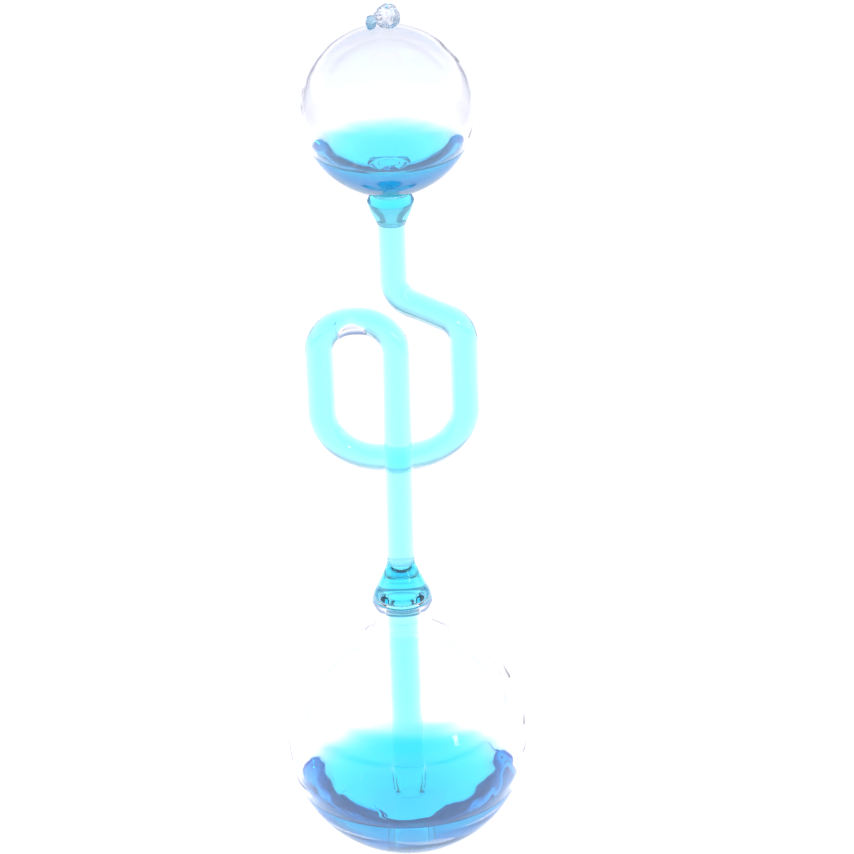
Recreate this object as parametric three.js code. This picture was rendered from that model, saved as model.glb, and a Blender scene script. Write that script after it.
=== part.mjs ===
// A hand boiler: two sealed glass bulbs joined by a looped glass tube, part filled with blue liquid.
// Millimetres, +Z up. The origin is the centre of the flat foot under the lower bulb.
// The loop lies in the X-Z plane; its bottom bend passes behind the upright stem, on the +Y side.

import * as THREE from 'three';

// ---- Driving dimensions ----
const LOWER_RADIUS = 25;
const FOOT_RADIUS = 7.5;
const LOWER_WALL = 0.6;
const UPPER_RADIUS = 17.15;
const UPPER_WALL = 0.55;
const UPPER_CENTRE_Z = 164.3;
const UPPER_OFFSET_X = 0.7;

const NECK_RADIUS = 5.7;
const NECK_FILLET = 5.5;
const NECK_TOP_Z = 55.8;

const TUBE_RADIUS = 2.85;
const TUBE_BORE = 1.95;
const DIP_RADIUS = 3.2;
const DIP_BORE = 2.15;
const DIP_END_Z = 4.6;

const WELD_RADIUS = 6.3;
const WELD_HEIGHT = 1.5;
const CONE_TOP_Z = 65;
const COLLAR_BOTTOM_Z = 140.4;
const COLLAR_RADIUS = 4.7;
const COLLAR_TOP_Z = 146.2;
const THROAT_RADIUS = 3.1;
const THROAT_BORE = 2.05;

const LOOP_TOP_Z = 119.3;
const LOOP_BOTTOM_Z = 85.7;
const LEFT_LIMB_X = -14.9;
const RIGHT_LIMB_X = 14.3;
const LOOP_DEPTH_Y = 6.4;
const LOOP_LEAN_Y = 0.4;
const RETURN_BEND = 7.3;
const BOTTOM_BEND = 12.3;
const SHOULDER_BEND = 6.2;
const SHOULDER_HIGH_Z = 124.4;
const SHOULDER_LOW_Z = 117.6;

const FILL_HOLE = 2.3;
const FILL_RADIUS = 2;
const FILL_BORE = 0.9;
const SEAL_SIZE = new THREE.Vector3(2.75, 2.5, 3.4);
const SEAL_CENTRE = new THREE.Vector3(0.55, 0, 182.6);
const TAIL_SIZE = new THREE.Vector3(0.75, 1.1, 2.3);
const TAIL_CENTRE = new THREE.Vector3(-3.3, -0.2, 181.7);

const LOWER_LEVEL_Z = 14.2;
const UPPER_LEVEL_Z = 156.8;
const JOIN_GAP = 0.3;
const LIQUID_GAP = 0.2;

// ---- Worked out from them ----
const LOWER_CENTRE_Z = Math.sqrt(LOWER_RADIUS ** 2 - FOOT_RADIUS ** 2);
const WELD_TOP_Z = NECK_TOP_Z + JOIN_GAP + WELD_HEIGHT;
const CONE_BOTTOM_Z = WELD_TOP_Z + JOIN_GAP;
const LOWER_INNER = LOWER_RADIUS - LOWER_WALL;
const UPPER_INNER = UPPER_RADIUS - UPPER_WALL;

// ---- Faceting ----
const BULB_SIDES = 28;
const SMALL_SIDES = 20;
const TUBE_STEPS = 90;
const TUBE_CURVE_SEGMENTS = 5;

// ---- Finishes ----
function glass() {
  return new THREE.MeshStandardMaterial({
    color: 0xf1f6f8, roughness: 0.04, metalness: 0, transparent: true, opacity: 0.35,
  });
}

function liquid() {
  return new THREE.MeshStandardMaterial({ color: 0x30d8f8, roughness: 0.08, metalness: 0 });
}

// ---- Helpers ----
function point(r, z) {
  return new THREE.Vector2(r, z);
}

// Points on an arc in the radius-height plane, from one angle to another in radians.
function arc(centreR, centreZ, radius, from, to, count) {
  const points = [];
  for (let i = 0; i <= count; i += 1) {
    const angle = from + ((to - from) * i) / count;
    points.push(point(centreR + radius * Math.cos(angle), centreZ + radius * Math.sin(angle)));
  }
  return points;
}

// Points along a smooth curve through a few points of a hand-shaped glass profile.
function smooth(knots, count) {
  return new THREE.SplineCurve(knots).getPoints(count);
}

// Angle at which a circle about the axis height reaches a given radius, on its upper side.
function reach(radius, r) {
  return Math.acos(r / radius);
}

function closed(profile) {
  return [...profile, profile[0].clone()];
}

function turned(name, profile, sides, material) {
  const geometry = new THREE.LatheGeometry(profile, sides);
  geometry.rotateX(Math.PI / 2);
  const mesh = new THREE.Mesh(geometry, material);
  mesh.name = name;
  return mesh;
}

// A plain tube between two heights about the axis.
function straightTube(name, outer, inner, low, high, sides, material) {
  const profile = closed([point(outer, low), point(outer, high), point(inner, high), point(inner, low)]);
  return turned(name, profile, sides, material);
}

// ---- The bent path of the looped tube ----
class ArcBend extends THREE.Curve {
  constructor(centre, start, along, angle) {
    super();
    this.centre = centre;
    this.start = start;
    this.along = along;
    this.angle = angle;
  }

  getPoint(t, target = new THREE.Vector3()) {
    const turn = t * this.angle;
    target.copy(this.centre);
    target.addScaledVector(this.start, Math.cos(turn));
    target.addScaledVector(this.along, Math.sin(turn) * this.start.length());
    return target;
  }
}

// Straight runs joined by round bends: each corner is a point with the radius of its bend.
function bentPath(corners) {
  const path = new THREE.CurvePath();
  let from = corners[0].at.clone();
  for (let i = 1; i < corners.length - 1; i += 1) {
    const { at, bend } = corners[i];
    const arriving = at.clone().sub(corners[i - 1].at).normalize();
    const leaving = corners[i + 1].at.clone().sub(at).normalize();
    const angle = arriving.angleTo(leaving);
    const setback = bend * Math.tan(angle / 2);
    const start = at.clone().addScaledVector(arriving, -setback);
    const inward = leaving.clone().addScaledVector(arriving, -Math.cos(angle)).normalize();
    const centre = start.clone().addScaledVector(inward, bend);
    path.add(new THREE.LineCurve3(from, start));
    path.add(new ArcBend(centre, inward.multiplyScalar(-bend), arriving, angle));
    from = at.clone().addScaledVector(leaving, setback);
  }
  path.add(new THREE.LineCurve3(from, corners[corners.length - 1].at.clone()));
  return path;
}

function loopPath(bottomZ, topZ) {
  const stemX = UPPER_OFFSET_X;
  return bentPath([
    { at: new THREE.Vector3(0, 0, bottomZ) },
    { at: new THREE.Vector3(stemX, 0, LOOP_TOP_Z), bend: RETURN_BEND },
    { at: new THREE.Vector3(LEFT_LIMB_X, LOOP_LEAN_Y, LOOP_TOP_Z), bend: RETURN_BEND },
    { at: new THREE.Vector3(LEFT_LIMB_X, LOOP_DEPTH_Y, LOOP_BOTTOM_Z), bend: BOTTOM_BEND },
    { at: new THREE.Vector3(RIGHT_LIMB_X, LOOP_DEPTH_Y, LOOP_BOTTOM_Z), bend: BOTTOM_BEND },
    { at: new THREE.Vector3(RIGHT_LIMB_X, LOOP_LEAN_Y, SHOULDER_LOW_Z), bend: SHOULDER_BEND },
    { at: new THREE.Vector3(stemX, 0, SHOULDER_HIGH_Z), bend: SHOULDER_BEND },
    { at: new THREE.Vector3(stemX, 0, topZ) },
  ]);
}

function swept(name, shape, path, material) {
  const geometry = new THREE.ExtrudeGeometry(shape, {
    steps: TUBE_STEPS, extrudePath: path, bevelEnabled: false, curveSegments: TUBE_CURVE_SEGMENTS,
  });
  const mesh = new THREE.Mesh(geometry, material);
  mesh.name = name;
  return mesh;
}

function disc(radius) {
  return new THREE.Shape().absarc(0, 0, radius, 0, Math.PI * 2, false);
}

// ---- Lower bulb: a blown ball with a flat foot and a short flared neck ----
function lowerBulbSide(radius, neckRadius, fillet, footAngle) {
  const reachOut = radius + fillet;
  const filletR = neckRadius + fillet;
  const filletZ = LOWER_CENTRE_Z + Math.sqrt(reachOut ** 2 - filletR ** 2);
  const join = reach(reachOut, filletR);
  return [
    ...arc(0, LOWER_CENTRE_Z, radius, footAngle, join, 13),
    ...arc(filletR, filletZ, fillet, join + Math.PI, Math.PI, 4).slice(1),
  ];
}

function lowerBulb() {
  const footAngle = -reach(LOWER_RADIUS, FOOT_RADIUS);
  const innerFootAngle = -Math.asin((LOWER_CENTRE_Z - LOWER_WALL) / LOWER_INNER);
  const outer = lowerBulbSide(LOWER_RADIUS, NECK_RADIUS, NECK_FILLET, footAngle);
  const innerNeck = NECK_RADIUS - LOWER_WALL;
  const inner = lowerBulbSide(LOWER_INNER, innerNeck, NECK_FILLET + LOWER_WALL, innerFootAngle);
  const profile = [
    point(0, 0),
    ...outer,
    point(NECK_RADIUS, NECK_TOP_Z),
    point(NECK_RADIUS - LOWER_WALL, NECK_TOP_Z),
    ...inner.reverse(),
    point(0, LOWER_WALL),
  ];
  return turned('lower_bulb', profile, BULB_SIDES, glass());
}

// ---- Ring seal: the bead where neck, dip tube and flared chamber are fused ----
function ringSeal() {
  const low = NECK_TOP_Z + JOIN_GAP;
  const half = WELD_HEIGHT / 2;
  const rim = arc(WELD_RADIUS - half, low + half, half, -Math.PI / 2, Math.PI / 2, 5);
  const profile = closed([point(DIP_BORE, low), ...rim, point(DIP_BORE, WELD_TOP_Z)]);
  return turned('ring_seal', profile, SMALL_SIDES, glass());
}

function dipTube() {
  const top = NECK_TOP_Z;
  return straightTube('dip_tube', DIP_RADIUS, DIP_BORE, DIP_END_Z, top, SMALL_SIDES, glass());
}

// ---- Flared chamber above the ring seal ----
function lowerCone() {
  const outer = smooth([
    point(5.6, CONE_BOTTOM_Z),
    point(5.2, 58.8),
    point(4.6, 60.2),
    point(4.0, 61.6),
    point(3.15, 63.6),
    point(TUBE_RADIUS, CONE_TOP_Z),
  ], 10);
  const inner = smooth([
    point(TUBE_BORE, CONE_TOP_Z),
    point(2.35, 63.8),
    point(3.3, 61.8),
    point(4.2, 59.8),
    point(4.9, CONE_BOTTOM_Z),
  ], 8);
  return turned('lower_cone', closed([...outer, ...inner]), SMALL_SIDES, glass());
}

// ---- Looped tube ----
function loopTube() {
  const section = disc(TUBE_RADIUS);
  section.holes.push(disc(TUBE_BORE));
  const path = loopPath(CONE_TOP_Z + JOIN_GAP, COLLAR_BOTTOM_Z - JOIN_GAP);
  return swept('loop_tube', section, path, glass());
}

// ---- Cup-shaped chamber under the upper bulb ----
function upperCollar() {
  const outer = smooth([
    point(TUBE_RADIUS, COLLAR_BOTTOM_Z),
    point(3.4, 141.4),
    point(4.0, 142.9),
    point(COLLAR_RADIUS, 145.0),
    point(4.3, 145.9),
    point(THROAT_RADIUS, COLLAR_TOP_Z),
  ], 9);
  const inner = smooth([
    point(THROAT_BORE, COLLAR_TOP_Z),
    point(2.8, 145.6),
    point(4.0, 144.9),
    point(3.4, 142.9),
    point(2.7, 141.6),
    point(TUBE_BORE, COLLAR_BOTTOM_Z),
  ], 9);
  return turned('upper_collar', closed([...outer, ...inner]), SMALL_SIDES, glass());
}

// ---- Ring fused into the mouth of the upper bulb ----
function throatRing() {
  const low = COLLAR_TOP_Z + JOIN_GAP;
  const high = upperShellZ(-1, UPPER_RADIUS, THROAT_RADIUS) - JOIN_GAP;
  return straightTube('throat_ring', THROAT_RADIUS, THROAT_BORE, low, high, SMALL_SIDES, glass());
}

// Height of a ball's surface about the upper centre at a given radius; side is -1 below, 1 above.
function upperShellZ(side, ball, r) {
  return UPPER_CENTRE_Z + side * Math.sqrt(ball ** 2 - r ** 2);
}

function upperBulb() {
  const outer = arc(
    0, UPPER_CENTRE_Z, UPPER_RADIUS, -reach(UPPER_RADIUS, THROAT_RADIUS), reach(UPPER_RADIUS, FILL_HOLE), 15,
  );
  const inner = arc(
    0, UPPER_CENTRE_Z, UPPER_INNER, reach(UPPER_INNER, FILL_HOLE), -reach(UPPER_INNER, THROAT_BORE), 13,
  );
  return turned('upper_bulb', closed([...outer, ...inner]), BULB_SIDES, glass());
}

// ---- Filling stem and its melted seal ----
function fillStem() {
  const low = upperShellZ(1, UPPER_INNER, FILL_HOLE);
  const high = UPPER_CENTRE_Z + UPPER_RADIUS;
  return straightTube('fill_stem', FILL_RADIUS, FILL_BORE, low, high, SMALL_SIDES, glass());
}

// A drop of melted glass: a ball pulled out of round by soft lobes, settled on top of the bulb.
function drop(name, size, centre, lobes) {
  const geometry = new THREE.SphereGeometry(1, 14, 10);
  const position = geometry.attributes.position;
  const v = new THREE.Vector3();
  for (let i = 0; i < position.count; i += 1) {
    v.fromBufferAttribute(position, i);
    const around = 0.1 * Math.sin(lobes * v.x + 1.3) * Math.cos(lobes * v.y);
    const upward = 0.06 * Math.sin(lobes * v.z * 1.4);
    v.multiplyScalar(1 + around + upward).multiply(size).add(centre);
    const seat = upperShellZ(1, UPPER_RADIUS + JOIN_GAP, Math.hypot(v.x, v.y));
    position.setXYZ(i, v.x, v.y, Math.max(v.z, seat));
  }
  const mesh = new THREE.Mesh(geometry, glass());
  mesh.name = name;
  return mesh;
}

function sealNib() {
  return drop('seal_nib', SEAL_SIZE, SEAL_CENTRE, 2.6);
}

function sealTail() {
  return drop('seal_tail', TAIL_SIZE, TAIL_CENTRE, 2.2);
}

// ---- Liquid, chamber by chamber ----
function lowerPool() {
  const ball = LOWER_INNER - LIQUID_GAP;
  const floor = LOWER_WALL + LIQUID_GAP;
  const low = -Math.asin((LOWER_CENTRE_Z - floor) / ball);
  const high = -Math.asin((LOWER_CENTRE_Z - LOWER_LEVEL_Z) / ball);
  const hole = DIP_RADIUS + LIQUID_GAP;
  const profile = [
    point(0, floor),
    ...arc(0, LOWER_CENTRE_Z, ball, low, high, 8),
    point(hole, LOWER_LEVEL_Z),
    point(hole, DIP_END_Z - LIQUID_GAP),
    point(0, DIP_END_Z - LIQUID_GAP),
  ];
  return turned('lower_pool', profile, BULB_SIDES, liquid());
}

function dipColumn() {
  const r = DIP_BORE - LIQUID_GAP;
  const profile = [point(0, DIP_END_Z), point(r, DIP_END_Z), point(r, WELD_TOP_Z), point(0, WELD_TOP_Z)];
  return turned('dip_column', profile, SMALL_SIDES, liquid());
}

function coneFill() {
  const side = smooth([
    point(4.65, CONE_BOTTOM_Z),
    point(3.95, 59.8),
    point(3.05, 61.8),
    point(2.1, 63.8),
    point(TUBE_BORE - LIQUID_GAP, CONE_TOP_Z),
  ], 8);
  const profile = [point(0, CONE_BOTTOM_Z), ...side, point(0, CONE_TOP_Z)];
  return turned('cone_fill', profile, SMALL_SIDES, liquid());
}

function loopColumn() {
  const path = loopPath(CONE_TOP_Z + JOIN_GAP, COLLAR_BOTTOM_Z - JOIN_GAP);
  return swept('loop_column', disc(TUBE_BORE - LIQUID_GAP), path, liquid());
}

function collarFill() {
  const side = smooth([
    point(TUBE_BORE - LIQUID_GAP, COLLAR_BOTTOM_Z),
    point(2.4, 141.6),
    point(3.15, 142.9),
    point(3.7, 144.7),
    point(2.55, 145.3),
    point(THROAT_BORE - LIQUID_GAP, COLLAR_TOP_Z),
  ], 9);
  const profile = [point(0, COLLAR_BOTTOM_Z), ...side, point(0, COLLAR_TOP_Z)];
  return turned('collar_fill', profile, SMALL_SIDES, liquid());
}

function upperPool() {
  const ball = UPPER_INNER - LIQUID_GAP;
  const throat = THROAT_BORE - LIQUID_GAP;
  const level = Math.asin((UPPER_LEVEL_Z - UPPER_CENTRE_Z) / ball);
  const low = COLLAR_TOP_Z + JOIN_GAP;
  const profile = [
    point(0, low),
    point(throat, low),
    ...arc(0, UPPER_CENTRE_Z, ball, -reach(ball, throat), level, 7),
    point(0, UPPER_LEVEL_Z),
  ];
  return turned('upper_pool', profile, BULB_SIDES, liquid());
}

// ---- Assembly ----
const lower = new THREE.Group();
lower.add(lowerBulb(), ringSeal(), dipTube(), lowerCone(), lowerPool(), dipColumn(), coneFill());

const upper = new THREE.Group();
upper.add(upperCollar(), throatRing(), upperBulb(), fillStem(), sealNib(), sealTail());
upper.add(collarFill(), upperPool());
upper.position.x = UPPER_OFFSET_X;

const handBoiler = new THREE.Group();
handBoiler.add(lower, loopTube(), loopColumn(), upper);

export default handBoiler;
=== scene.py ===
"""A hand boiler in clear blown glass, part filled with sky-blue liquid, on a plain pale floor.

The glass that is fused on the bench is one mesh for each end and one for the looped tube, and so is the
liquid, so that light bends at real surfaces only. Each liquid mesh reaches a hair's breadth into the glass
that holds it, which is how a renderer sees wet glass. Sizes are in millimetres until a mesh is made.
"""
import math

import bmesh
import bpy
from mathutils import Matrix, Vector, noise


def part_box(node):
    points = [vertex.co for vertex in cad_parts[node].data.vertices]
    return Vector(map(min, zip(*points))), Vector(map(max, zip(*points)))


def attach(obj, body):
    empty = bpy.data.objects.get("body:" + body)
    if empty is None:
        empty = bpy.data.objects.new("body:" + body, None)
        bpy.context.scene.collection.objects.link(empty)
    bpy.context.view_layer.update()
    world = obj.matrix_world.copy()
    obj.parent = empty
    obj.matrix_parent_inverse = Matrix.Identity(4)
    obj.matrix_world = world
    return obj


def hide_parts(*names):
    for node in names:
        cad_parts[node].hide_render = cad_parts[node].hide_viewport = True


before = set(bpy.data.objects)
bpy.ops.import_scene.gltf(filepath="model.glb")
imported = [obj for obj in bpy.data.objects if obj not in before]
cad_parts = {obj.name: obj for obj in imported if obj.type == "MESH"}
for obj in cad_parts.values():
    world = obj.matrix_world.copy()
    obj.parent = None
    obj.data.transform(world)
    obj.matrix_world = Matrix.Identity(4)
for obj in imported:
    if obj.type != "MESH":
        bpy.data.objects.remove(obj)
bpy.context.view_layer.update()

MM = 0.001

# ---- Glass, liquid and fineness ----
GLASS_IOR = 1.48
LIQUID_IOR = 1.36
DYE_COLOUR = (0.06, 0.937, 0.994, 1)
DYE_DENSITY = 320.0
BULB_SIDES = 160
SPAN_POINTS = 8
TUBE_SIDES = 48
TUBE_STEP = 0.5
CORNER = math.radians(32)

# ---- How far the liquid reaches into its glass, and how it climbs the glass ----
WET = 0.04
CAPILLARY = 0.8
CONTACT_ANGLE = 6
TUBE_CLIMB = 1.2
TUBE_SPREAD = 2.4

# ---- Walls and bores of the glass ----
LOWER_WALL = 0.6
UPPER_WALL = 0.55
TUBE_RADIUS = 2.85
TUBE_BORE = 1.95
DIP_BORE = 2.15
NECK_FILLET = 5.5
THROAT_BORE = 2.0
MOUTH_RADIUS = THROAT_BORE + 0.2
FOOT_RADIUS = 7.5
FOOT_INSIDE = FOOT_RADIUS - 0.6
FILL_HOLE = 2.3

# ---- Waviness of the blown walls, outside and inside, and of the drawn tube ----
LOWER_WAVE_OUT = 0.03
LOWER_WAVE_IN = 0.05
UPPER_WAVE_OUT = 0.015
UPPER_WAVE_IN = 0.03
TUBE_UNEVENNESS = 0.03

# ---- Bends of the looped tube ----
RETURN_BEND = 7.3
BOTTOM_BEND = 12.3
SHOULDER_BEND = 6.2
PINCH_TURN = 96
PINCH_SPAN = 32
PINCH_DEPTH = 1.7
BORE_REACH = 2.45
LOOP_TOP_Z = 119.3
LOOP_BOTTOM_Z = 85.7
LOOP_LEAN_Y = 0.4
SHOULDER_HIGH_Z = 124.4
SHOULDER_LOW_Z = 117.6


def size_of(node):
    """Lowest and highest corner of a CAD node, in millimetres."""
    low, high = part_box(node)
    return low / MM, high / MM


# ---- Places worked out from the frame ----
bulb_low, bulb_high = size_of("lower_bulb")
LOWER_RADIUS = (bulb_high.x - bulb_low.x) / 2
NECK_TOP_Z = bulb_high.z
LOWER_CENTRE_Z = math.sqrt(LOWER_RADIUS ** 2 - FOOT_RADIUS ** 2)
ring_low, ring_high = size_of("ring_seal")
RING_RADIUS = (ring_high.x - ring_low.x) / 2
dip_low, dip_high = size_of("dip_tube")
DIP_RADIUS = (dip_high.x - dip_low.x) / 2
DIP_END_Z = dip_low.z
DIP_TOP_Z = NECK_TOP_Z - 1.2
CONE_TOP_Z = size_of("lower_cone")[1].z
collar_low, collar_high = size_of("upper_collar")
COLLAR_BOTTOM_Z = collar_low.z
COLLAR_TOP_Z = collar_high.z
COLLAR_RADIUS = (collar_high.x - collar_low.x) / 2
top_low, top_high = size_of("upper_bulb")
UPPER_RADIUS = (top_high.x - top_low.x) / 2
UPPER_X = (top_high.x + top_low.x) / 2
UPPER_CENTRE_Z = top_high.z - math.sqrt(UPPER_RADIUS ** 2 - FILL_HOLE ** 2)
loop_low, loop_high = size_of("loop_tube")
LEFT_LIMB_X = loop_low.x + TUBE_RADIUS
RIGHT_LIMB_X = loop_high.x - TUBE_RADIUS
LOOP_DEPTH_Y = loop_high.y - TUBE_RADIUS
LOWER_LEVEL_Z = size_of("lower_pool")[1].z
UPPER_LEVEL_Z = size_of("upper_pool")[1].z


# ---- Outlines, as (radius, height, waviness) ----
def arc(centre_r, centre_z, radius, start, stop, wave=0.0, step=2.0, also=()):
    """Points on an arc in the radius-height plane, from one angle to another in degrees.

    The points between the ends stand at whole steps, so that two skins of one wall get matching points.
    The waviness dies away at the angles in also, where a waterline runs.
    """
    low, high = min(start, stop), max(start, stop)
    marks = {step * i for i in range(math.ceil(low / step), math.floor(high / step) + 1)} | set(also)
    angles = [low] + sorted(a for a in marks if low + 0.01 < a < high - 0.01) + [high]
    if stop < start:
        angles.reverse()
    return [(centre_r + radius * math.cos(math.radians(a)), centre_z + radius * math.sin(math.radians(a)),
             wave * min(1, min([abs(a - mark) / 7 for mark in also] or [1]))) for a in angles]


def smooth(knots):
    """A Catmull-Rom curve, without waviness, through the given knots of a shaped glass outline."""
    ends = [knots[0]] + list(knots) + [knots[-1]]
    points = []
    for i in range(1, len(ends) - 2):
        for j in range(SPAN_POINTS):
            t = j / SPAN_POINTS
            points.append(tuple(
                0.5 * (2 * b + (c - a) * t + (2 * a - 5 * b + 4 * c - d) * t * t
                       + (3 * b - a - 3 * c + d) * t ** 3)
                for a, b, c, d in zip(*ends[i - 1:i + 3])) + (0.0,))
    points.append(tuple(knots[-1]) + (0.0,))
    return points


def reach(ball, r):
    """Angle in degrees above the ball's middle at which its surface has the radius r."""
    return math.degrees(math.acos(r / ball))


def blown_side(ball, neck, fillet, foot_angle, wave, also=()):
    """The lower ball's side from its foot up to the straight part of its neck."""
    out = ball + fillet
    fillet_r = neck + fillet
    fillet_z = LOWER_CENTRE_Z + math.sqrt(out ** 2 - fillet_r ** 2)
    join = reach(out, fillet_r)
    side = arc(0, LOWER_CENTRE_Z, ball, foot_angle, join, wave, also=also)
    return side + arc(fillet_r, fillet_z, fillet, join + 180, 180, step=4)[1:]


# ---- Mesh making ----
def ripple(x, y, z):
    """Slow ripples that run round a ball as it is turned in the flame."""
    rings = noise.noise(Vector((x * 0.07, y * 0.07, z * 0.45)))
    strands = noise.noise(Vector((x * 0.25 + 9, y * 0.25, z * 0.9)))
    return rings + 0.3 * strands


def keep_corners(mesh):
    """Smooth shading everywhere but across real corners, where light must bend sharply."""
    work = bmesh.new()
    work.from_mesh(mesh)
    for edge in work.edges:
        edge.smooth = not edge.is_manifold or edge.calc_face_angle() < CORNER
    for face in work.faces:
        face.smooth = True
    work.to_mesh(mesh)
    work.free()


def put_in_scene(name, data):
    piece = bpy.data.objects.new(name, data)
    bpy.context.scene.collection.objects.link(piece)
    return piece


def finish_mesh(name, verts, faces, material):
    mesh = bpy.data.meshes.new(name)
    mesh.from_pydata([Vector(v) * MM for v in verts], [], faces)
    work = bmesh.new()
    work.from_mesh(mesh)
    bmesh.ops.recalc_face_normals(work, faces=work.faces)
    if work.calc_volume(signed=True) < 0:
        bmesh.ops.reverse_faces(work, faces=work.faces)
    work.to_mesh(mesh)
    work.free()
    keep_corners(mesh)
    mesh.materials.append(material)
    return put_in_scene(name, mesh)


def revolve(name, profile, axis_x, material):
    """Turns an outline about an upright axis. It closes on itself, or on the axis at both ends."""
    verts, rings = [], []
    for i, (r, z, wave) in enumerate(profile):
        before, after = profile[i - 1], profile[(i + 1) % len(profile)]
        along = Vector((after[0] - before[0], after[1] - before[1])).normalized()
        if r < 1e-6:
            rings.append([len(verts)])
            verts.append((axis_x, 0, z))
            continue
        ring = []
        for k in range(BULB_SIDES):
            turn = 2 * math.pi * k / BULB_SIDES
            x, y = math.cos(turn), math.sin(turn)
            push = wave * ripple(r * x, r * y, z) if wave else 0
            ring.append(len(verts))
            verts.append((axis_x + (r + push * along.y) * x, (r + push * along.y) * y, z - push * along.x))
        rings.append(ring)
    faces = []
    for low, high in zip(rings, rings[1:] + rings[:1]):
        if len(low) == 1 and len(high) == 1:
            continue
        for k in range(BULB_SIDES):
            n = (k + 1) % BULB_SIDES
            if len(low) == 1:
                faces.append((low[0], high[n], high[k]))
            elif len(high) == 1:
                faces.append((low[k], low[n], high[0]))
            else:
                faces.append((low[k], low[n], high[n], high[k]))
    return finish_mesh(name, verts, faces, material)


# ---- The bent path of the looped tube ----
def bent_path(corners, step):
    """Straight runs joined by round bends; each corner is a point and the radius of its bend."""
    points = [Vector(corners[0][0])]
    for i in range(1, len(corners) - 1):
        at, bend = Vector(corners[i][0]), corners[i][1]
        arriving = (at - Vector(corners[i - 1][0])).normalized()
        leaving = (Vector(corners[i + 1][0]) - at).normalized()
        angle = arriving.angle(leaving)
        setback = bend * math.tan(angle / 2)
        start = at - arriving * setback
        inward = (leaving - arriving * math.cos(angle)).normalized()
        centre = start + inward * bend
        run(points, start, step)
        count = max(6, int(bend * angle / step))
        for j in range(1, count + 1):
            turn = angle * j / count
            points.append(centre - inward * bend * math.cos(turn) + arriving * bend * math.sin(turn))
    run(points, Vector(corners[-1][0]), step)
    return points


def run(points, end, step):
    """Adds evenly spaced points on a straight line from the last point to the end."""
    start = points[-1]
    count = max(1, int((end - start).length / step))
    points.extend(start.lerp(end, j / count) for j in range(1, count + 1))


def loop_points(bottom, top):
    return bent_path([
        ((0, 0, bottom), 0),
        ((UPPER_X, 0, LOOP_TOP_Z), RETURN_BEND),
        ((LEFT_LIMB_X, LOOP_LEAN_Y, LOOP_TOP_Z), RETURN_BEND),
        ((LEFT_LIMB_X, LOOP_DEPTH_Y, LOOP_BOTTOM_Z), BOTTOM_BEND),
        ((RIGHT_LIMB_X, LOOP_DEPTH_Y, LOOP_BOTTOM_Z), BOTTOM_BEND),
        ((RIGHT_LIMB_X, LOOP_LEAN_Y, SHOULDER_LOW_Z), SHOULDER_BEND),
        ((UPPER_X, 0, SHOULDER_HIGH_Z), SHOULDER_BEND),
        ((UPPER_X, 0, top), 0),
    ], TUBE_STEP)


# ---- Geometry Nodes: a drawn tube or a column of liquid along a path ----
def add_input(tree, name, kind, value=None):
    socket = tree.interface.new_socket(name, in_out="INPUT", socket_type=kind)
    if value is not None:
        socket.default_value = value
    return socket.identifier


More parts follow.
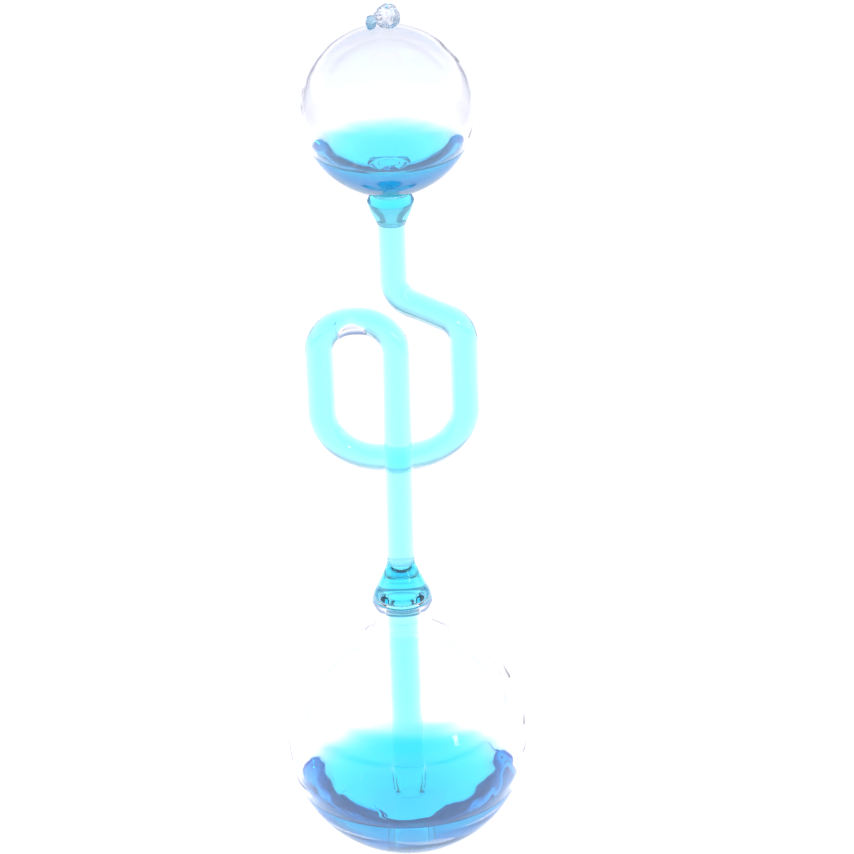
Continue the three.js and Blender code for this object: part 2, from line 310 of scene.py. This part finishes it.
def sweep_tree(hollow):
    """A tree that draws a round section along a path. A hollow one has a bore and flat annular ends."""
    tree = bpy.data.node_groups.new("drawn tube" if hollow else "drawn column", "GeometryNodeTree")
    tree.is_modifier = True
    ids = {"Path": add_input(tree, "Path", "NodeSocketGeometry")}
    ids["Radius"] = add_input(tree, "Radius", "NodeSocketFloat", TUBE_RADIUS * MM)
    ids["Bore"] = add_input(tree, "Bore", "NodeSocketFloat", TUBE_BORE * MM)
    ids["Sides"] = add_input(tree, "Sides", "NodeSocketInt", TUBE_SIDES)
    ids["Unevenness"] = add_input(tree, "Unevenness", "NodeSocketFloat", 0.0)
    ids["Material"] = add_input(tree, "Material", "NodeSocketMaterial")
    tree.interface.new_socket("Geometry", in_out="OUTPUT", socket_type="NodeSocketGeometry")
    nodes, link = tree.nodes, tree.links.new
    start = nodes.new("NodeGroupInput")
    end = nodes.new("NodeGroupOutput")
    curve = nodes.new("GeometryNodeMeshToCurve")
    link(start.outputs["Path"], curve.inputs["Mesh"])

    place = nodes.new("GeometryNodeInputPosition")
    spine = nodes.new("GeometryNodeCaptureAttribute")
    spine.capture_items.new("VECTOR", "Spine")
    link(curve.outputs["Curve"], spine.inputs["Geometry"])
    link(place.outputs["Position"], spine.inputs["Spine"])

    uneven = nodes.new("ShaderNodeTexNoise")
    uneven.inputs["Scale"].default_value = 60
    uneven.inputs["Detail"].default_value = 0
    link(place.outputs["Position"], uneven.inputs["Vector"])
    swing = nodes.new("ShaderNodeMath")
    swing.operation = "SUBTRACT"
    swing.inputs[1].default_value = 0.5
    link(uneven.outputs["Fac"], swing.inputs[0])
    share = nodes.new("ShaderNodeMath")
    share.operation = "MULTIPLY_ADD"
    share.inputs[2].default_value = 1.0
    link(swing.outputs["Value"], share.inputs[0])
    link(start.outputs["Unevenness"], share.inputs[1])
    thick = nodes.new("GeometryNodeSetCurveRadius")
    link(spine.outputs["Geometry"], thick.inputs["Curve"])
    link(share.outputs["Value"], thick.inputs["Radius"])

    def skin(radius_name, caps):
        ring = nodes.new("GeometryNodeCurvePrimitiveCircle")
        link(start.outputs["Sides"], ring.inputs["Resolution"])
        link(start.outputs[radius_name], ring.inputs["Radius"])
        tube = nodes.new("GeometryNodeCurveToMesh")
        tube.inputs["Fill Caps"].default_value = caps
        link(thick.outputs["Curve"], tube.inputs["Curve"])
        link(ring.outputs["Curve"], tube.inputs["Profile Curve"])
        radius = nodes.new("GeometryNodeInputRadius")
        link(radius.outputs["Radius"], tube.inputs["Scale"])
        return tube.outputs["Mesh"]

    if hollow:
        outer = skin("Radius", False)
        inner = skin("Bore", False)
        flip = nodes.new("GeometryNodeFlipFaces")
        link(inner, flip.inputs["Mesh"])
        neighbours = nodes.new("GeometryNodeInputMeshEdgeNeighbors")
        rim = nodes.new("FunctionNodeCompare")
        rim.data_type = "INT"
        rim.operation = "EQUAL"
        rim.inputs[3].default_value = 1
        link(neighbours.outputs["Face Count"], rim.inputs[2])
        lip = nodes.new("GeometryNodeExtrudeMesh")
        lip.mode = "EDGES"
        lip.inputs["Offset Scale"].default_value = 0
        link(outer, lip.inputs["Mesh"])
        link(rim.outputs["Result"], lip.inputs["Selection"])
        ratio = nodes.new("ShaderNodeMath")
        ratio.operation = "DIVIDE"
        link(start.outputs["Bore"], ratio.inputs[0])
        link(start.outputs["Radius"], ratio.inputs[1])
        pull = nodes.new("ShaderNodeMix")
        pull.data_type = "VECTOR"
        link(ratio.outputs["Value"], pull.inputs[0])
        link(spine.outputs["Spine"], pull.inputs[4])
        link(place.outputs["Position"], pull.inputs[5])
        inset = nodes.new("GeometryNodeSetPosition")
        link(lip.outputs["Mesh"], inset.inputs["Geometry"])
        link(lip.outputs["Top"], inset.inputs["Selection"])
        link(pull.outputs[1], inset.inputs["Position"])
        join = nodes.new("GeometryNodeJoinGeometry")
        link(inset.outputs["Geometry"], join.inputs["Geometry"])
        link(flip.outputs["Mesh"], join.inputs["Geometry"])
        shape, gap = join.outputs["Geometry"], 0.00002
    else:
        shape, gap = skin("Radius", True), 0.00001

    weld = nodes.new("GeometryNodeMergeByDistance")
    weld.inputs["Distance"].default_value = gap
    link(shape, weld.inputs["Geometry"])
    soft = nodes.new("GeometryNodeSetShadeSmooth")
    link(weld.outputs["Geometry"], soft.inputs["Geometry"])
    real = nodes.new("GeometryNodeRealizeInstances")
    link(soft.outputs["Geometry"], real.inputs["Geometry"])
    paint = nodes.new("GeometryNodeSetMaterial")
    link(real.outputs["Geometry"], paint.inputs["Geometry"])
    link(start.outputs["Material"], paint.inputs["Material"])
    link(paint.outputs["Geometry"], end.inputs["Geometry"])
    return tree, ids


def grown(name, base, tree, ids, values):
    """Runs a tree on a base object, turns the result into a plain mesh and removes the base."""
    modifier = base.modifiers.new("grow", "NODES")
    modifier.node_group = tree
    for key, value in values.items():
        modifier[ids[key]] = value
    bpy.context.view_layer.update()
    evaluated = base.evaluated_get(bpy.context.evaluated_depsgraph_get())
    mesh = bpy.data.meshes.new_from_object(evaluated)
    mesh.name = name
    keep_corners(mesh)
    piece = put_in_scene(name, mesh)
    bpy.data.objects.remove(base)
    return piece


def path_object(points):
    mesh = bpy.data.meshes.new("path")
    mesh.from_pydata([p * MM for p in points], [(i, i + 1) for i in range(len(points) - 1)], [])
    return put_in_scene("path", mesh)


# ---- Materials ----
def new_material(name):
    material = bpy.data.materials.new(name)
    material.use_nodes = True
    nodes = material.node_tree.nodes
    return material, nodes, material.node_tree.links.new, nodes["Principled BSDF"]


def waves_group():
    """Fine unevenness of hand-worked glass: slow waves, drawn cords and a few dust-like specks."""
    tree = bpy.data.node_groups.new("worked glass", "ShaderNodeTree")
    for name, value in (("Wave Scale", 90.0), ("Cord Scale", 400.0), ("Cord Strength", 0.25)):
        tree.interface.new_socket(name, in_out="INPUT", socket_type="NodeSocketFloat").default_value = value
    tree.interface.new_socket("Height", in_out="OUTPUT", socket_type="NodeSocketFloat")
    tree.interface.new_socket("Roughness", in_out="OUTPUT", socket_type="NodeSocketFloat")
    nodes, link = tree.nodes, tree.links.new
    start = nodes.new("NodeGroupInput")
    end = nodes.new("NodeGroupOutput")
    where = nodes.new("ShaderNodeTexCoord")
    wave = nodes.new("ShaderNodeTexNoise")
    wave.inputs["Detail"].default_value = 1
    link(where.outputs["Object"], wave.inputs["Vector"])
    link(start.outputs["Wave Scale"], wave.inputs["Scale"])
    stretch = nodes.new("ShaderNodeMapping")
    stretch.inputs["Scale"].default_value = (0.15, 0.15, 1)
    link(where.outputs["Object"], stretch.inputs["Vector"])
    cord = nodes.new("ShaderNodeTexNoise")
    cord.inputs["Detail"].default_value = 1
    link(stretch.outputs["Vector"], cord.inputs["Vector"])
    link(start.outputs["Cord Scale"], cord.inputs["Scale"])
    mix = nodes.new("ShaderNodeMath")
    mix.operation = "MULTIPLY_ADD"
    link(cord.outputs["Fac"], mix.inputs[0])
    link(start.outputs["Cord Strength"], mix.inputs[1])
    link(wave.outputs["Fac"], mix.inputs[2])
    link(mix.outputs["Value"], end.inputs["Height"])
    haze = nodes.new("ShaderNodeMapRange")
    haze.inputs["From Min"].default_value = 0.55
    haze.inputs["From Max"].default_value = 0.8
    haze.inputs["To Min"].default_value = 0.0
    haze.inputs["To Max"].default_value = 0.03
    link(wave.outputs["Fac"], haze.inputs["Value"])
    link(haze.outputs["Result"], end.inputs["Roughness"])
    return tree


def uneven_surface(nodes, link, shader, group, depth, **values):
    """Places the shared unevenness in a material and feeds its bump."""
    surface = nodes.new("ShaderNodeGroup")
    surface.node_tree = group
    for key, value in values.items():
        surface.inputs[key.replace("_", " ")].default_value = value
    bump = nodes.new("ShaderNodeBump")
    bump.inputs["Distance"].default_value = depth
    link(surface.outputs["Height"], bump.inputs["Height"])
    link(bump.outputs["Normal"], shader.inputs["Normal"])
    return surface


def worked_surface(nodes, link, shader, group, depth, **values):
    """Places the shared unevenness in a material and feeds its bump and its roughness."""
    surface = uneven_surface(nodes, link, shader, group, depth, **values)
    link(surface.outputs["Roughness"], shader.inputs["Roughness"])


def clear_glass(group):
    material, nodes, link, shader = new_material("clear blown glass")
    shader.inputs["Base Color"].default_value = (1, 1, 1, 1)
    shader.inputs["IOR"].default_value = GLASS_IOR
    shader.inputs["Transmission Weight"].default_value = 1.0
    worked_surface(nodes, link, shader, group, 0.00002)
    return material


def seal_glass(group):
    """Crumpled melted glass, tinted blue where it meets the bulb."""
    material, nodes, link, shader = new_material("melted seal glass")
    shader.inputs["IOR"].default_value = GLASS_IOR
    shader.inputs["Transmission Weight"].default_value = 1.0
    where = nodes.new("ShaderNodeTexCoord")
    height = nodes.new("ShaderNodeSeparateXYZ")
    link(where.outputs["Object"], height.inputs["Vector"])
    fade = nodes.new("ShaderNodeMapRange")
    fade.inputs["From Min"].default_value = (UPPER_CENTRE_Z + UPPER_RADIUS - 0.5) * MM
    fade.inputs["From Max"].default_value = (UPPER_CENTRE_Z + UPPER_RADIUS + 3.2) * MM
    link(height.outputs["Z"], fade.inputs["Value"])
    offset = nodes.new("ShaderNodeMath")
    offset.operation = "SUBTRACT"
    offset.inputs[1].default_value = UPPER_X * MM
    link(height.outputs["X"], offset.inputs[0])
    side = nodes.new("ShaderNodeMath")
    side.operation = "ABSOLUTE"
    link(offset.outputs["Value"], side.inputs[0])
    inward = nodes.new("ShaderNodeMapRange")
    inward.inputs["From Min"].default_value = 2.4 * MM
    inward.inputs["From Max"].default_value = 1.2 * MM
    link(side.outputs["Value"], inward.inputs["Value"])
    clear = nodes.new("ShaderNodeMath")
    clear.operation = "MAXIMUM"
    link(fade.outputs["Result"], clear.inputs[0])
    link(inward.outputs["Result"], clear.inputs[1])
    tint = nodes.new("ShaderNodeValToRGB")
    tint.color_ramp.elements[0].color = (0.02, 0.45, 0.66, 1)
    tint.color_ramp.elements[1].color = (0.97, 0.99, 1, 1)
    link(clear.outputs["Value"], tint.inputs["Fac"])
    link(tint.outputs["Color"], shader.inputs["Base Color"])
    worked_surface(nodes, link, shader, group, 0.00025, Wave_Scale=450.0, Cord_Scale=500.0)
    return material


def blue_liquid(group):
    material, nodes, link, shader = new_material("sky-blue liquid")
    shader.inputs["Base Color"].default_value = (1, 1, 1, 1)
    shader.inputs["IOR"].default_value = LIQUID_IOR
    shader.inputs["Transmission Weight"].default_value = 1.0
    shader.inputs["Roughness"].default_value = 0.0
    dye = nodes.new("ShaderNodeVolumeAbsorption")
    dye.inputs["Color"].default_value = DYE_COLOUR
    dye.inputs["Density"].default_value = DYE_DENSITY
    output = [n for n in nodes if n.type == "OUTPUT_MATERIAL"][0]
    link(dye.outputs["Volume"], output.inputs["Volume"])
    uneven_surface(nodes, link, shader, group, 0.00001, Wave_Scale=60.0, Cord_Strength=0.0)
    return material


# ---- Lower glass: foot, ball, neck, ring seal, dip tube and flared chamber ----
def cone_cavity(grow=0.0):
    """The flared chamber's inside, from its bowl-shaped floor up to the tube's bore."""
    return smooth([
        (DIP_BORE + grow, 56.6 - grow),
        (4.2 + grow, 56.65 - grow),
        (5.15 + grow, 56.85 - grow),
        (5.55 + grow, 57.3),
        (5.3 + grow, 58.0),
        (4.85 + grow, 58.8),
        (4.1 + grow, 60.4),
        (3.25 + grow, 62.3),
        (2.4 + grow, 64.1),
        (TUBE_BORE + grow, CONE_TOP_Z - 0.1),
        (TUBE_BORE + grow, CONE_TOP_Z),
    ])


def dip_end(inset=0.0):
    """The rounded end of the dip tube, from its outside round to its bore."""
    middle, half = (DIP_RADIUS + DIP_BORE) / 2, (DIP_RADIUS - DIP_BORE) / 2
    return arc(middle, DIP_END_Z + 0.6, half - inset, 0, -180, step=15)


def lower_glass(material):
    foot_angle = -reach(LOWER_RADIUS, FOOT_RADIUS)
    inner = LOWER_RADIUS - LOWER_WALL
    inner_foot = -math.degrees(math.asin((LOWER_CENTRE_Z - LOWER_WALL) / inner))
    neck = RING_RADIUS - 0.6
    outside = blown_side(LOWER_RADIUS, neck, NECK_FILLET, foot_angle, LOWER_WAVE_OUT)
    outside += smooth([
        (neck, NECK_TOP_Z - 1.2),
        (RING_RADIUS - 0.3, NECK_TOP_Z - 0.6),
        (RING_RADIUS - 0.05, NECK_TOP_Z + 0.1),
        (RING_RADIUS - 0.15, NECK_TOP_Z + 1.0),
        (5.8, NECK_TOP_Z + 2.1),
        (5.3, 58.8),
        (4.55, 60.4),
        (3.75, 62.2),
        (3.05, 64.0),
        (TUBE_RADIUS, CONE_TOP_Z),
    ])
    contact = wall_contact(inner, LOWER_CENTRE_Z, LOWER_LEVEL_Z)[0]
    hollow = blown_side(
        inner, neck - LOWER_WALL, NECK_FILLET + LOWER_WALL, inner_foot, LOWER_WAVE_IN, also=(contact,))
    hollow += smooth([
        (neck - LOWER_WALL, NECK_TOP_Z - 1.4),
        (neck - LOWER_WALL - 0.1, NECK_TOP_Z - 0.6),
        (neck - LOWER_WALL - 0.5, NECK_TOP_Z + 0.1),
        (DIP_RADIUS + 0.5, NECK_TOP_Z + 0.05),
        (DIP_RADIUS, NECK_TOP_Z - 0.7),
    ])
    tube_contact = LOWER_LEVEL_Z + tube_rise()
    dip = [
        (DIP_RADIUS, NECK_TOP_Z - 3, 0),
        (DIP_RADIUS, tube_contact, 0),
        (DIP_RADIUS, DIP_END_Z + 0.3, 0),
    ] + dip_end()
    dip += [(DIP_BORE, DIP_END_Z + 2, 0), (DIP_BORE, LOWER_LEVEL_Z, 0), (DIP_BORE, DIP_TOP_Z, 0)]
    foot = [(0, 0, 0), (FOOT_RADIUS - 0.5, 0, 0)]
    floor = [(FOOT_INSIDE, LOWER_WALL, 0), (0, LOWER_WALL, 0)]
    profile = foot + outside + cone_cavity()[::-1] + dip[::-1] + hollow[::-1] + floor
    piece = revolve("lower_glass", profile, 0, material)
    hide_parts("lower_bulb", "ring_seal", "dip_tube", "lower_cone")
    return piece


# ---- How still liquid climbs the glass around it ----
def creep(slope):
    """A wetting surface from nearly level up to the slope at the glass, as (distance from glass, rise)."""
    points, distance, count = [], 0.0, 60
    angles = [math.radians(1 + (slope - 1) * (1 - (i / count)) ** 2) for i in range(count + 1)]
    for i, angle in enumerate(angles):
        if i:
            middle = (angle + angles[i - 1]) / 2
            distance += CAPILLARY * math.cos(middle) / (2 * math.sin(middle / 2)) * (angles[i - 1] - angle)
        points.append((distance, 2 * CAPILLARY * math.sin(angle / 2)))
    return points


def wall_contact(ball, centre_z, level):
    """Where the surface meets a ball's wall: the angle on the ball and the surface's slope there."""
    rise = CAPILLARY
    for _ in range(8):
        angle = math.degrees(math.asin((level + rise - centre_z) / ball))
        slope = 90 + angle - CONTACT_ANGLE
        rise = 2 * CAPILLARY * math.sin(math.radians(slope) / 2)
    return angle, slope


def tube_rise():
    """How high the liquid climbs the dip tube."""
    return TUBE_CLIMB * creep(90 - CONTACT_ANGLE)[0][1]


def still_surface(ball, centre_z, level, tube_r):
    """The liquid's top from the wall inwards, to the axis or to a tube that stands in it."""
    angle, slope = wall_contact(ball, centre_z, level)
    wall_r = ball * math.cos(math.radians(angle))
    wall_z = centre_z + ball * math.sin(math.radians(angle))
    outer = creep(slope)
    drop = wall_z - level - outer[0][1]
    points = [(wall_r - d, level + rise + drop * max(0, 1 - d), 0.0) for d, rise in outer]
    floor_z = points[-1][1]
    if not tube_r:
        return points + [(points[-1][0] * share, floor_z, 0.0) for share in (0.75, 0.5, 0.25, 0)]
    climb = creep(90 - CONTACT_ANGLE)
    base = climb[-1][1]
    inner = [(tube_r + TUBE_SPREAD * d, floor_z + TUBE_CLIMB * (rise - base), 0.0) for d, rise in climb]
    return points + inner[::-1]


def lower_liquid(material):
    ball = LOWER_RADIUS - LOWER_WALL + WET
    floor = LOWER_WALL - WET
    foot = -math.degrees(math.asin((LOWER_CENTRE_Z - floor) / ball))
    contact = wall_contact(ball - WET, LOWER_CENTRE_Z, LOWER_LEVEL_Z)[0]
    surface = still_surface(ball - WET, LOWER_CENTRE_Z, LOWER_LEVEL_Z, DIP_RADIUS)
    profile = [(0, floor, 0), (FOOT_INSIDE, floor, 0)]
    profile += arc(0, LOWER_CENTRE_Z, ball, foot, contact, LOWER_WAVE_IN, also=(contact,))
    profile += surface + [(DIP_RADIUS - WET, surface[-1][1], 0)] + dip_end(WET)
    profile += [(DIP_BORE + WET, LOWER_LEVEL_Z, 0), (DIP_BORE + WET, DIP_TOP_Z, 0)]
    profile += cone_cavity(WET) + [(0, CONE_TOP_Z, 0)]
    piece = revolve("lower_liquid", profile, 0, material)
    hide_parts("lower_pool", "dip_column", "cone_fill")
    return piece


# ---- Upper glass: collar, throat, ball ----
def collar_cavity(grow=0.0):
    """The collar's inside, from the tube's bore up through the throat."""
    return smooth([
        (TUBE_BORE + grow, COLLAR_BOTTOM_Z),
        (TUBE_BORE + grow, COLLAR_BOTTOM_Z + 0.15),
        (2.8 + grow, COLLAR_BOTTOM_Z + 1.0),
        (3.55 + grow, COLLAR_BOTTOM_Z + 2.4),
        (4.1 + grow, COLLAR_BOTTOM_Z + 4.0),
        (4.2 + grow, COLLAR_BOTTOM_Z + 4.7),
        (3.7 + grow, COLLAR_BOTTOM_Z + 5.3 + grow),
        (THROAT_BORE + 0.3 + grow, COLLAR_TOP_Z + 0.1 + grow),
        (THROAT_BORE + grow, COLLAR_TOP_Z + 0.7),
    ])


def upper_side(ball, throat, wave, also=()):
    """The upper ball's side from its throat up to the top, which ends on the axis."""
    side = arc(0, UPPER_CENTRE_Z, ball, -reach(ball, throat), 90, wave, also=also)
    return side[:-1] + [(0, UPPER_CENTRE_Z + ball, 0)]


def upper_glass(material):
    inner = UPPER_RADIUS - UPPER_WALL
    outside = smooth([
        (TUBE_RADIUS, COLLAR_BOTTOM_Z),
        (TUBE_RADIUS + 0.3, COLLAR_BOTTOM_Z + 0.6),
        (3.45, COLLAR_BOTTOM_Z + 1.3),
        (4.05, COLLAR_BOTTOM_Z + 2.7),
        (COLLAR_RADIUS - 0.05, COLLAR_BOTTOM_Z + 4.6),
        (COLLAR_RADIUS - 0.1, COLLAR_BOTTOM_Z + 5.2),
        (4.1, COLLAR_TOP_Z + 0.1),
        (3.7, COLLAR_TOP_Z + 0.5),
        (3.8, COLLAR_TOP_Z + 0.9),
    ])
    outside += upper_side(UPPER_RADIUS, 4.3, UPPER_WAVE_OUT)
    contact = wall_contact(inner, UPPER_CENTRE_Z, UPPER_LEVEL_Z)[0]
    hollow = collar_cavity() + upper_side(inner, MOUTH_RADIUS, UPPER_WAVE_IN, also=(contact,))
    piece = revolve("upper_glass", outside + hollow[::-1], UPPER_X, material)
    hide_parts("upper_collar", "throat_ring", "upper_bulb", "fill_stem")
    return piece


def upper_liquid(material):
    ball = UPPER_RADIUS - UPPER_WALL + WET
    contact = wall_contact(ball - WET, UPPER_CENTRE_Z, UPPER_LEVEL_Z)[0]
    mouth = -reach(ball, MOUTH_RADIUS + WET)
    side = arc(0, UPPER_CENTRE_Z, ball, mouth, contact, UPPER_WAVE_IN, also=(contact,))
    surface = still_surface(ball - WET, UPPER_CENTRE_Z, UPPER_LEVEL_Z, 0)
    profile = [(0, COLLAR_BOTTOM_Z, 0)] + collar_cavity(WET) + side + surface
    piece = revolve("upper_liquid", profile, UPPER_X, material)
    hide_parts("collar_fill", "upper_pool")
    return piece


# ---- The looped tube and the liquid in it ----
def pinch_bend(piece):
    """Thickens and wrinkles the wall on the inside of the return bend, where hot glass bunches up."""
    middle_x, middle_z = LEFT_LIMB_X + RETURN_BEND, LOOP_TOP_Z - RETURN_BEND
    ease_in, ease_along, folds = 2.4, 9, 8
    for vert in piece.data.vertices:
        x, y, z = vert.co / MM
        out = math.hypot(x - middle_x, z - middle_z)
        turn = math.degrees(math.atan2(z - middle_z, x - middle_x))
        if math.hypot(out - RETURN_BEND, y) > BORE_REACH or abs(turn - PINCH_TURN) > PINCH_SPAN:
            continue
        inside = min(1, max(0, (RETURN_BEND + 0.5 - out) / ease_in))
        edge = min(1, (PINCH_SPAN - abs(turn - PINCH_TURN)) / ease_along)
        fold = 0.75 + 0.25 * math.cos(math.radians(folds * (turn - PINCH_TURN)))
        push = PINCH_DEPTH * inside * edge * fold
        vert.co.x += push * MM * (x - middle_x) / out
        vert.co.z += push * MM * (z - middle_z) / out


def loop_pieces(glass, liquid):
    bottom, top = CONE_TOP_Z - WET, COLLAR_BOTTOM_Z + WET
    tree, ids = sweep_tree(hollow=True)
    tube = grown("loop_glass", path_object(loop_points(bottom, top)), tree, ids, {
        "Radius": TUBE_RADIUS * MM, "Bore": TUBE_BORE * MM, "Sides": TUBE_SIDES,
        "Unevenness": TUBE_UNEVENNESS, "Material": glass})
    pinch_bend(tube)
    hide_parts("loop_tube")
    tree, ids = sweep_tree(hollow=False)
    column = grown("loop_liquid", path_object(loop_points(bottom, top)), tree, ids, {
        "Radius": (TUBE_BORE + WET) * MM, "Sides": TUBE_SIDES,
        "Unevenness": TUBE_UNEVENNESS, "Material": liquid})
    pinch_bend(column)
    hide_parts("loop_column")
    return tube, column


# ---- The melted seal on top ----
def melted_drop(name, node, material, seed, crumple, plump, slump):
    """A lump of melted glass, crumpled and settled on the ball.

    It starts from the size of its CAD node, is widened by the factor plump and moved sideways by slump.
    """
    low, high = size_of(node)
    centre, half = (low + high) / 2 + Vector((slump, 0, 0)), (high - low) / 2
    work = bmesh.new()
    bmesh.ops.create_icosphere(work, subdivisions=5, radius=1)
    shift = Vector((seed * 3.1, seed * 1.7, seed * 2.3))
    for vert in work.verts:
        unit = vert.co.copy()
        fold = 1 - 2 * abs(noise.noise(unit * 2.2 + shift))
        swell = 0.97 + crumple * (noise.noise(unit * 1.5 + shift) + 0.35 * (fold - 0.6))
        spread = 1 + 0.12 * max(0, -unit.z)
        swell_xy = swell * spread * plump
        point = Vector((unit.x * half.x * swell_xy, unit.y * half.y * swell_xy, unit.z * half.z * swell))
        point += centre
        across = math.hypot(point.x - UPPER_X, point.y)
        seat = UPPER_CENTRE_Z + math.sqrt(UPPER_RADIUS ** 2 - across ** 2) - 0.08
        vert.co = Vector((point.x, point.y, max(point.z, seat))) * MM
    mesh = bpy.data.meshes.new(name)
    for face in work.faces:
        face.smooth = True
    work.to_mesh(mesh)
    work.free()
    mesh.materials.append(material)
    piece = put_in_scene(name, mesh)
    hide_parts(node)
    return piece


# ---- Stage: floor, light, camera ----
def light_table():
    """A pale opal table top, lit softly from below around and behind the piece."""
    bpy.ops.mesh.primitive_plane_add(size=8, location=(0, 0, -0.0002))
    floor = bpy.context.object
    floor.name = "floor"
    material, nodes, link, shader = new_material("pale opal floor")
    shader.inputs["Base Color"].default_value = (0.82, 0.82, 0.82, 1)
    shader.inputs["Roughness"].default_value = 0.9
    shader.inputs["Emission Color"].default_value = (1, 1, 1, 1)
    where = nodes.new("ShaderNodeTexCoord")

    def fade(stretch, near, out, strong, weak):
        oval = nodes.new("ShaderNodeVectorMath")
        oval.operation = "MULTIPLY"
        oval.inputs[1].default_value = stretch
        link(where.outputs["Object"], oval.inputs[0])
        far = nodes.new("ShaderNodeVectorMath")
        far.operation = "LENGTH"
        link(oval.outputs["Vector"], far.inputs[0])
        step = nodes.new("ShaderNodeMapRange")
        step.interpolation_type = "SMOOTHSTEP"
        step.inputs["From Min"].default_value = near
        step.inputs["From Max"].default_value = out
        step.inputs["To Min"].default_value = strong
        step.inputs["To Max"].default_value = weak
        link(far.outputs["Value"], step.inputs["Value"])
        return step.outputs["Result"]

    # A round pool of light about the piece, times a strip that runs back to the horizon.
    glow = nodes.new("ShaderNodeMath")
    glow.operation = "MULTIPLY"
    link(fade((1, 1, 1), 0.2, 0.8, 1.02, 0.62), glow.inputs[0])
    link(fade((1.9, 0.2, 1), 0.45, 0.85, 1.0, 0.25), glow.inputs[1])
    link(glow.outputs["Value"], shader.inputs["Emission Strength"])
    floor.data.materials.append(material)


def studio():
    """Light that is white along the horizon and fades to a dim violet overhead, and one small lamp."""
    world = bpy.data.worlds.new("studio")
    world.use_nodes = True
    nodes, link = world.node_tree.nodes, world.node_tree.links.new
    where = nodes.new("ShaderNodeTexCoord")
    split = nodes.new("ShaderNodeSeparateXYZ")
    link(where.outputs["Generated"], split.inputs["Vector"])
    sky = nodes.new("ShaderNodeValToRGB")
    sky.color_ramp.interpolation = "EASE"
    sky.color_ramp.elements[0].position = 0.08
    sky.color_ramp.elements[0].color = (1.0, 1.0, 1.03, 1)
    sky.color_ramp.elements[1].position = 0.7
    sky.color_ramp.elements[1].color = (0.22, 0.2, 0.28, 1)
    middle = sky.color_ramp.elements.new(0.32)
    middle.color = (0.4, 0.5, 0.82, 1)
    link(split.outputs["Z"], sky.inputs["Fac"])
    link(sky.outputs["Color"], nodes["Background"].inputs["Color"])
    bpy.context.scene.world = world

    lamp = bpy.data.lights.new("side lamp", "AREA")
    lamp.shape = "RECTANGLE"
    lamp.size = 0.1
    lamp.size_y = 0.18
    lamp.energy = 0.4
    piece = put_in_scene("side lamp", lamp)
    piece.location = (0.88, -0.77, 0.3)
    aim = Vector((0, 0, 0.03)) - piece.location
    piece.rotation_euler = aim.to_track_quat("-Z", "Y").to_euler()


def camera():
    """Long lens, looking down at the piece, turned a little about its own axis."""
    elevation, roll = math.radians(25.59), math.radians(2.01)
    distance, aim = 872.85, Vector((6.33, 0, 95.2))
    focal_length = 181.264637
    level = Vector((1, 0, 0))
    upright = Vector((0, math.sin(elevation), math.cos(elevation)))
    forward = Vector((0, math.cos(elevation), -math.sin(elevation)))
    right = level * math.cos(roll) - upright * math.sin(roll)
    up = level * math.sin(roll) + upright * math.cos(roll)
    lens = bpy.data.cameras.new("camera")
    lens.sensor_width = 36
    lens.lens = focal_length
    lens.clip_start = 0.01
    lens.clip_end = 50
    eye = put_in_scene("camera", lens)
    turn = Matrix((right, up, -forward)).transposed().to_4x4()
    eye.matrix_world = Matrix.Translation((aim - forward * distance) * MM) @ turn
    bpy.context.scene.camera = eye


def light_path():
    """Enough bounces for light to pass through every layer of glass and liquid."""
    scene = bpy.context.scene
    scene.view_settings.view_transform = "Standard"
    scene.cycles.max_bounces = 48
    scene.cycles.transmission_bounces = 48
    scene.cycles.glossy_bounces = 16
    scene.cycles.diffuse_bounces = 4


# ---- The whole piece ----
def main():
    group = waves_group()
    glass, seal, liquid = clear_glass(group), seal_glass(group), blue_liquid(group)
    camera()
    light_table()
    studio()
    light_path()
    low_glass, low_liquid = lower_glass(glass), lower_liquid(liquid)
    top_glass, top_liquid = upper_glass(glass), upper_liquid(liquid)
    tube, column = loop_pieces(glass, liquid)
    nib = melted_drop("seal_lump", "seal_nib", seal, seed=1.0, crumple=0.26, plump=1.0, slump=0.05)
    tail = melted_drop("seal_drip", "seal_tail", seal, seed=2.0, crumple=0.15, plump=1.5, slump=0.75)
    for piece in (low_glass, top_glass, tube):
        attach(piece, "root")
    for piece in (low_liquid, top_liquid, column):
        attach(piece, "root")
    for piece in (nib, tail):
        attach(piece, "root")


main()
